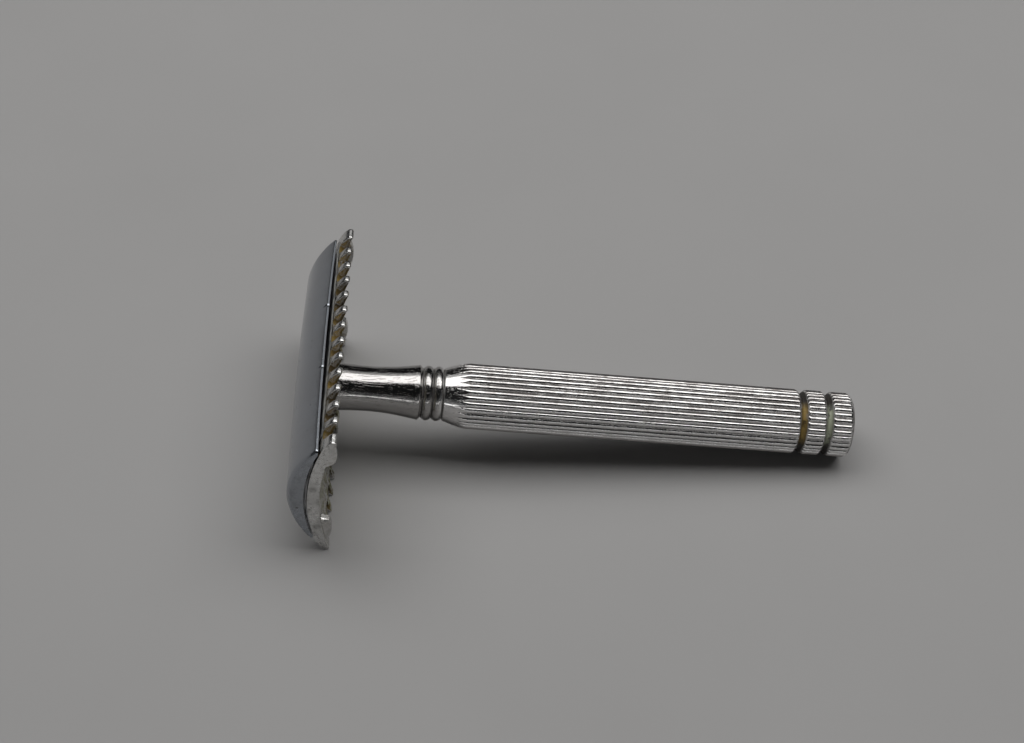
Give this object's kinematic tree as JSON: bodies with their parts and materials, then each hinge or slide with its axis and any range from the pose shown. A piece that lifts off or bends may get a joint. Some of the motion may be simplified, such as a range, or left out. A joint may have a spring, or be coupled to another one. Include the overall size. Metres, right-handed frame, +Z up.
{
  "type": "safety razor",
  "caption": "Safety razor with a domed cap, an open comb guard, a threaded stud and a fluted handle, lying on its side.",
  "frame": {"origin": "under the middle of the razor's bounding box, on the surface that it lies on", "axes": "+X along the handle from the head towards the butt, which points 5.5 degrees down; +Y along the head's length; +Z up"},
  "size_m": [0.0858, 0.0428, 0.025],
  "materials": {
    "cap_plating": "bright plating, lightly scuffed and pitted",
    "guard_plating": "worn plating, brown and gold deposits in the comb slots and the hollow",
    "handle_plating": "bright plating, worn on the ribs, deposits in the grooves",
    "bare_brass": "turned brass, dulled",
    "blade_steel": "thin hardened steel strip with ground edges"
  },
  "bodies": {
    "guard": {"comb_guard": "guard_plating"},
    "handle": {"handle": "handle_plating", "thread_bush": "bare_brass", "butt_plug": "handle_plating"},
    "cap": {"cap": "cap_plating", "stud": "bare_brass", "locating_pin_near": "bare_brass", "locating_pin_far": "bare_brass"},
    "blade": {"blade": "blade_steel"}
  },
  "joints": [
    {"name": "handle_unscrew", "type": "hinge", "parent": "guard", "child": "handle", "pos_m": [-0.0378, 0, 0.01266], "axis": [0.9954, 0, -0.0958], "range_deg": [0, 2250]},
    {"name": "cap_lift", "type": "slide", "parent": "guard", "child": "cap", "axis": [-0.9954, 0, 0.0958], "range_m": [0, 0.005]},
    {"name": "blade_lift", "type": "slide", "parent": "guard", "child": "blade", "axis": [-0.9954, 0, 0.0958], "range_m": [0, 0.0034]}
  ],
  "couplings": [
    {"joint": "cap_lift", "follows": "handle_unscrew", "m_per_rad": 0.00012633},
    {"joint": "blade_lift", "follows": "handle_unscrew", "m_per_rad": 0.000082114}
  ]
}
